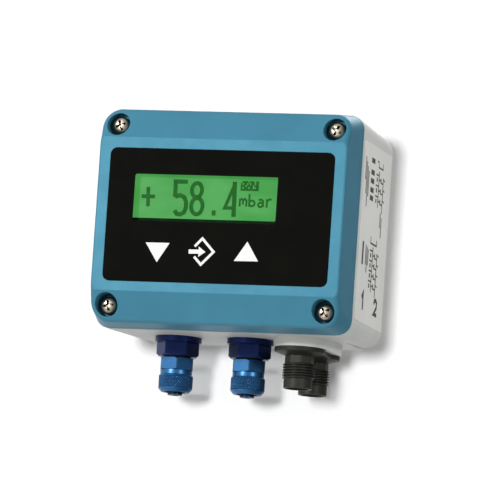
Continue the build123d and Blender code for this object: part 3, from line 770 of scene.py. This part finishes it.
def digit_lines():
    """The reading: the points of each line, its width, and whether it is closed."""
    belly = [(-18.1, 7.2), (-16.3, 7.9), (-14.6, 7.2), (-13.75, 5.4), (-13.7, 3.2)]
    belly += [(-14.3, 1.5), (-15.7, 0.7), (-17.1, 0.9), (-18.0, 2.2)]
    upper = [(x, 9.95 + (z - 9.95) * 1.35) for x, z in circle(-9.85, 9.95, 1.95, 24)]
    lower = [(-9.5 + (x + 9.85) * 1.13, 3.95 + (z - 9.95) * 1.16) for x, z in upper]
    return [
        ([(-13.6, 12.95), (-18.25, 12.95), (-18.1, 7.1)], 1.6, False),
        (belly, 1.6, False),
        (upper, 1.5, True),
        (lower, 1.5, True),
        ([(4.75, 12.9), (1.3, 3.6), (5.4, 3.6)], 1.3, False),
        ([(4.55, 13.5), (4.9, 0.35)], 1.7, False),
        ([(-28.7, 10.6), (-28.4, 3.4)], 1.4, False),
        ([(-31.1, 7.1), (-25.9, 7.1)], 1.4, False),
        ([(-2.85, 2.55), (-2.8, 0.6)], 1.5, False),
    ]


def unit_lines():
    """The unit in small letters, as thin lines."""
    return [
        ([(6.95, 4.3), (6.95, 7.2)], False),
        ([(6.95, 6.6), (7.6, 7.15), (8.2, 6.6), (8.2, 5.0)], False),
        ([(8.2, 6.6), (8.85, 7.15), (9.5, 6.6), (9.5, 4.3)], False),
        ([(10.5, 9.0), (10.6, 4.3)], False),
        (circle(11.6, 5.55, 1.05, 16), True),
        (circle(14.9, 5.1, 0.85, 14), True),
        ([(14.1, 6.85), (15.2, 7.1), (15.85, 6.5), (15.95, 4.3)], False),
        ([(17.3, 7.3), (17.35, 4.1)], False),
        ([(17.35, 6.3), (18.2, 7.25), (19.1, 7.1)], False),
    ]


def status_field():
    """A small field of dark dots above the unit, in the style of a status mark."""
    rows = (".####.###.##", "#.##.#.##.##", "###.####.###", "#.###.##..##", "############")
    blocks = []
    for row, pattern in enumerate(rows):
        for column, dot in enumerate(pattern):
            if dot == "#":
                left, top = 6.9 + column * 0.58, 13.8 - row * 0.72
                right, low = left + dot_width, top - dot_height
                blocks.append([(left, low), (right, low), (right, top), (left, top)])
    return blocks


def display_characters():
    """All dark marks of the display; each is a little thicker than the one before, where they cross."""
    shape = Shape()
    marks = [ribbon(points, width, closed) for points, width, closed in digit_lines()]
    marks += [ribbon(points, letter_width, closed) for points, closed in unit_lines()]
    marks += [[block] for block in status_field()]
    for step, mark in enumerate(marks):
        plate(shape, mark, on_glass, 0.02, 0.05 + 0.0005 * step)
    shape.piece("display_characters", character_dark, "housing")


def rounded(x0, z0, x1, z1, radius, steps=8):
    """A rectangle with rounded corners."""
    loop = arc(x1 - radius, z1 - radius, radius, 0, 90, steps)
    loop += arc(x0 + radius, z1 - radius, radius, 90, 180, steps)
    loop += arc(x0 + radius, z0 + radius, radius, 180, 270, steps)
    loop += arc(x1 - radius, z0 + radius, radius, 270, 360, steps)
    return loop


def shaded_display_border():
    """The dark edge of the glass round its lit field, with painted shade along the bottom and the right.
    """
    left, low, right, top = glass_area
    shape = Shape()
    outer = [(left, low), (right, low), (right, top), (left, top)]
    plate(shape, [outer, rounded(*lit_field, lit_corner)], on_glass, 0.02, 0.08)
    shape.piece("shaded_display_border", border_shade_green, "housing")


# Symbols of the keys on the foil


def on_foil(u, v, w):
    """A point on the front foil, u to the right and v up."""
    return (u, foil_front - w, v)


def key_symbols():
    """Two triangles, and an arrow that enters an open diamond."""
    shape = Shape()
    down = [(-27.4, -10.5), (-22.6, -17.75), (-18.1, -10.45)]
    up = [(11.75, -9.1), (7.0, -16.45), (16.35, -16.35)]
    arrow = [(-10.6, -12.65), (-10.55, -14.2), (-6.75, -14.15), (-6.75, -15.35)]
    arrow += [(-4.1, -13.4), (-6.8, -11.45), (-6.8, -12.6)]
    diamond = [(-8.35, -11.45), (-5.6, -8.45), (-1.0, -13.3), (-5.6, -18.15), (-8.35, -15.3)]
    for loops in ([down], [up], [arrow], ribbon(diamond, 0.95)):
        plate(shape, loops, on_foil, 0.0, 0.012)
    shape.piece("key_symbols", ink_white, "housing")


# Print of the side label


def on_label(u, v, w):
    """A point on the label, u to the rear and v up from its middle."""
    slant = tan(radians(side_draft))
    middle_x = side_x - (label_y - parting_y) * slant
    out = (label_thickness + w) / hypot(1, slant)
    rear = u / hypot(1, slant)
    return (middle_x - rear * slant + out, label_y + rear + out * slant, label_z + v)


def column_lines(left, top, lengths, pitch, drop):
    """Lines of very small print that run down the label, one beside the other."""
    lines = []
    for row, length in enumerate(lengths):
        x = left + row * pitch
        lines.append(([(x, top - row * drop), (x, top - row * drop - length)], 1.0))
    return lines


def wiring(left, top, rows, pitch):
    """A wiring picture: two upright lines with rungs, contacts and short bars."""
    foot = top - rows * pitch
    lines = [([(left + 4.6, top + 1.6), (left + 4.6, foot)], 0.9)]
    lines.append(([(left + 11.4, top), (left + 11.4, foot - 1.4)], 0.9))
    for row in range(rows):
        y = top - row * pitch
        lines.append(([(left, y), (left + 4.6, y)], 0.6))
        lines.append(([(left + 4.6, y - 1.5), (left + 7.6, y - 1.5)], 0.6))
        lines.append(([(left + 7.8, y - 0.5), (left + 7.8, y - 2.5)], 1.1))
        lines.append(([(left + 8.6, y - 2.2), (left + 11.4, y - 2.2)], 0.6))
        lines.append(([(left + 11.4, y - 0.4), (left + 14.0, y - 0.9)], 0.6))
        lines.append(([(left + 1.6, y - 1.0), (left + 1.6, y - 2.6)], 1.5))
    return lines


def label_print():
    """Generic printed lines and bars in two fields, and the numbers of the ports."""
    lines = column_lines(-18.4, 27.6, (8.5, 12.0, 15.0, 9.5), 1.7, 1.6)
    for top in (27.6, 23.2, 20.0, 16.6, 13.6):
        lines.append(([(-9.8, top), (-4.6, top)], 1.9))
    lines.append(([(-0.6, 28.4), (1.6, 28.4), (1.6, 26.4), (8.6, 26.4), (8.6, 28.6)], 0.6))
    lines += wiring(-1.6, 23.4, 3, 4.0)
    lines += column_lines(8.4, 10.0, (5.5, 7.5), 1.9, 1.5)
    lines.append(([(-15.2, -3.6), (-15.2, -12.2)], 2.2))
    lines += column_lines(-10.4, -4.4, (7.4, 9.5, 6.0), 1.8, 0.6)
    lines.append(([(-3.8, -0.4), (-3.8, -2.8), (5.6, -2.8), (5.6, -0.6)], 0.7))
    lines += wiring(-4.2, -5.4, 4, 3.8)
    one = [(-12.6, -24.2), (-10.4, -22.4), (-10.4, -28.6)]
    two = [(7.2, -24.3), (7.9, -23.0), (9.9, -22.6), (11.6, -23.6), (11.4, -25.2)]
    two += [(7.6, -28.0), (12.2, -28.0)]
    lines += [(one, 1.6), (two, 1.5)]
    shape = Shape()
    for step, (points, width) in enumerate(lines):
        plate(shape, ribbon(points, width), on_label, 0.0, 0.01 + 0.0004 * step)
    shape.piece("label_print", ink_black, "housing")


# Backdrop and light


def backdrop():
    """A white wall behind the object that curves into a floor far below; it shows from its front only."""
    wall_y, wall_top, floor_z, floor_front = 0.6, 1500.0, -900.0, -3200.0
    bend, half_width = 400.0, 2600.0
    profile = [(wall_y, wall_top), (wall_y, floor_z + bend)]
    for a in between(0.0, pi / 2, 24)[1:]:
        profile.append((wall_y - bend * (1 - cos(a)), floor_z + bend * (1 - sin(a))))
    profile += [(floor_front, floor_z)]
    points = [(x * MM, y * MM, z * MM) for y, z in profile for x in (-half_width, half_width)]
    faces = [(2 * i, 2 * i + 2, 2 * i + 3, 2 * i + 1) for i in range(len(profile) - 1)]
    mesh = bpy.data.meshes.new("backdrop")
    mesh.from_pydata(points, [], faces)
    mesh.shade_smooth()
    recipe = Recipe("backdrop", 0.9, specular=0.0)
    recipe.set("Base Color", (0.86, 0.86, 0.86, 1))
    clear = recipe.node("ShaderNodeBsdfTransparent")
    side = recipe.node("ShaderNodeNewGeometry")
    choice = recipe.node("ShaderNodeMixShader")
    recipe.link(side.outputs["Backfacing"], choice.inputs["Fac"])
    recipe.link(recipe.shader.outputs["BSDF"], choice.inputs[1])
    recipe.link(clear.outputs["BSDF"], choice.inputs[2])
    recipe.link(choice.outputs["Shader"], recipe.tree.nodes["Material Output"].inputs["Surface"])
    mesh.materials.append(recipe.material)
    screen = bpy.data.objects.new("backdrop", mesh)
    bpy.context.scene.collection.objects.link(screen)
    screen.visible_diffuse = False
    screen.visible_glossy = False
    screen.visible_shadow = False
    return screen


def outward(azimuth, elevation):
    """The direction from the object to a lamp."""
    a, e = radians(azimuth), radians(elevation)
    return Vector((sin(a) * cos(e), -cos(a) * cos(e), sin(e)))


def lamp(name, azimuth, elevation, width, height, level):
    """A soft lamp that lights a surface facing it to this level."""
    distance = 1500.0
    light = bpy.data.lights.new(name, "AREA")
    light.shape = "RECTANGLE"
    light.size = width * MM
    light.size_y = height * MM
    light.energy = level * pi * pi * (distance * MM) ** 2
    made = bpy.data.objects.new(name, light)
    bpy.context.scene.collection.objects.link(made)
    made.location = (Vector((0, -30, 0)) + outward(azimuth, elevation) * distance) * MM
    made.rotation_euler = outward(azimuth, elevation).to_track_quat("Z", "Y").to_euler()
    return made


def link_group(name, members, state):
    """A light group that takes in or leaves out these objects."""
    group = bpy.data.collections.new(name)
    for member in members:
        group.objects.link(member)
    for entry in group.collection_objects:
        entry.light_linking.link_state = state
    return group


def is_small(name):
    """Whether a piece hangs below the housing, where the shadow on the wall is thinner."""
    return name.startswith(("port_adapter", "hose_fitting", "knurled_nut", "connector_body"))


def backdrop_lamp(name, level):
    """A distant lamp that lights the backdrop alone and throws the object's soft shadow on it."""
    light = bpy.data.lights.new(name, "SUN")
    light.angle = radians(8)
    light.energy = level * pi
    made = bpy.data.objects.new(name, light)
    bpy.context.scene.collection.objects.link(made)
    made.rotation_euler = outward(-2.5, 2.5).to_track_quat("Z", "Y").to_euler()
    return made.light_linking


def make_world():
    """White behind the object, a soft fill, and reflections that are brighter to the left."""
    world = bpy.data.worlds.new("studio")
    bpy.context.scene.world = world
    world.use_nodes = True
    tree = world.node_tree
    tree.nodes.clear()
    path = tree.nodes.new("ShaderNodeLightPath")
    direction = tree.nodes.new("ShaderNodeTexCoord").outputs["Generated"]

    def sky(toward, low, high, start=-0.7, end=0.7):
        dot = tree.nodes.new("ShaderNodeVectorMath")
        dot.operation = "DOT_PRODUCT"
        dot.inputs[1].default_value = Vector(toward).normalized()
        level = tree.nodes.new("ShaderNodeMapRange")
        level.inputs["From Min"].default_value = start
        level.inputs["From Max"].default_value = end
        level.inputs["To Min"].default_value = low
        level.inputs["To Max"].default_value = high
        made = tree.nodes.new("ShaderNodeBackground")
        tree.links.new(direction, dot.inputs[0])
        tree.links.new(dot.outputs["Value"], level.inputs["Value"])
        tree.links.new(level.outputs["Result"], made.inputs["Strength"])
        made.inputs["Color"].default_value = (1, 1, 1, 1)
        return made.outputs["Background"]

    def choose(value, first, second):
        mix = tree.nodes.new("ShaderNodeMixShader")
        tree.links.new(value, mix.inputs["Fac"])
        tree.links.new(first, mix.inputs[1])
        tree.links.new(second, mix.inputs[2])
        return mix.outputs["Shader"]

    white = sky((0, 0, 1), 1.0, 1.0)
    seen = tree.nodes.new("ShaderNodeMath")
    seen.operation = "MAXIMUM"
    tree.links.new(path.outputs["Is Camera Ray"], seen.inputs[0])
    tree.links.new(path.outputs["Is Transmission Ray"], seen.inputs[1])
    fill = sky((0, 0, -1), 0.31, 0.47)
    reflected = sky((-1, 0, 0.05), 0.1, 1.0, -0.6, 0.25)
    lit = choose(path.outputs["Is Glossy Ray"], fill, reflected)
    output = tree.nodes.new("ShaderNodeOutputWorld")
    tree.links.new(choose(seen.outputs["Value"], lit, white), output.inputs["Surface"])


def make_light(screen):
    make_world()
    without_screen = link_group("object_lights", (screen,), "EXCLUDE")
    for light in (
        lamp("lamp_left", -27, 13, 160, 160, 0.5),
        lamp("lamp_right", 49, 10, 160, 160, 0.25),
        lamp("strip_left", -21, -6, 60, 400, 0.04),
        lamp("strip_right", 49, -6, 60, 400, 0.04),
        lamp("lamp_rear", 168, 42, 600, 600, 0.42),
    ):
        light.light_linking.receiver_collection = without_screen
    only_screen = link_group("backdrop_light", (screen,), "INCLUDE")
    small = [made for made in bpy.context.scene.objects if made.type == "MESH" and is_small(made.name)]
    backdrop_lamp("lamp_backdrop_all", 0.5).receiver_collection = only_screen
    large_only = backdrop_lamp("lamp_backdrop_large", 0.35)
    large_only.receiver_collection = only_screen
    large_only.blocker_collection = link_group("large_shadows", small, "EXCLUDE")
    bpy.context.scene.view_settings.view_transform = "Standard"


make_camera()
dress_nodes()
connector_body()
for number, x in enumerate(port_places, 1):
    union_nut(number, x)
lid_screws()
display_characters()
shaded_display_border()
key_symbols()
label_print()
make_light(backdrop())
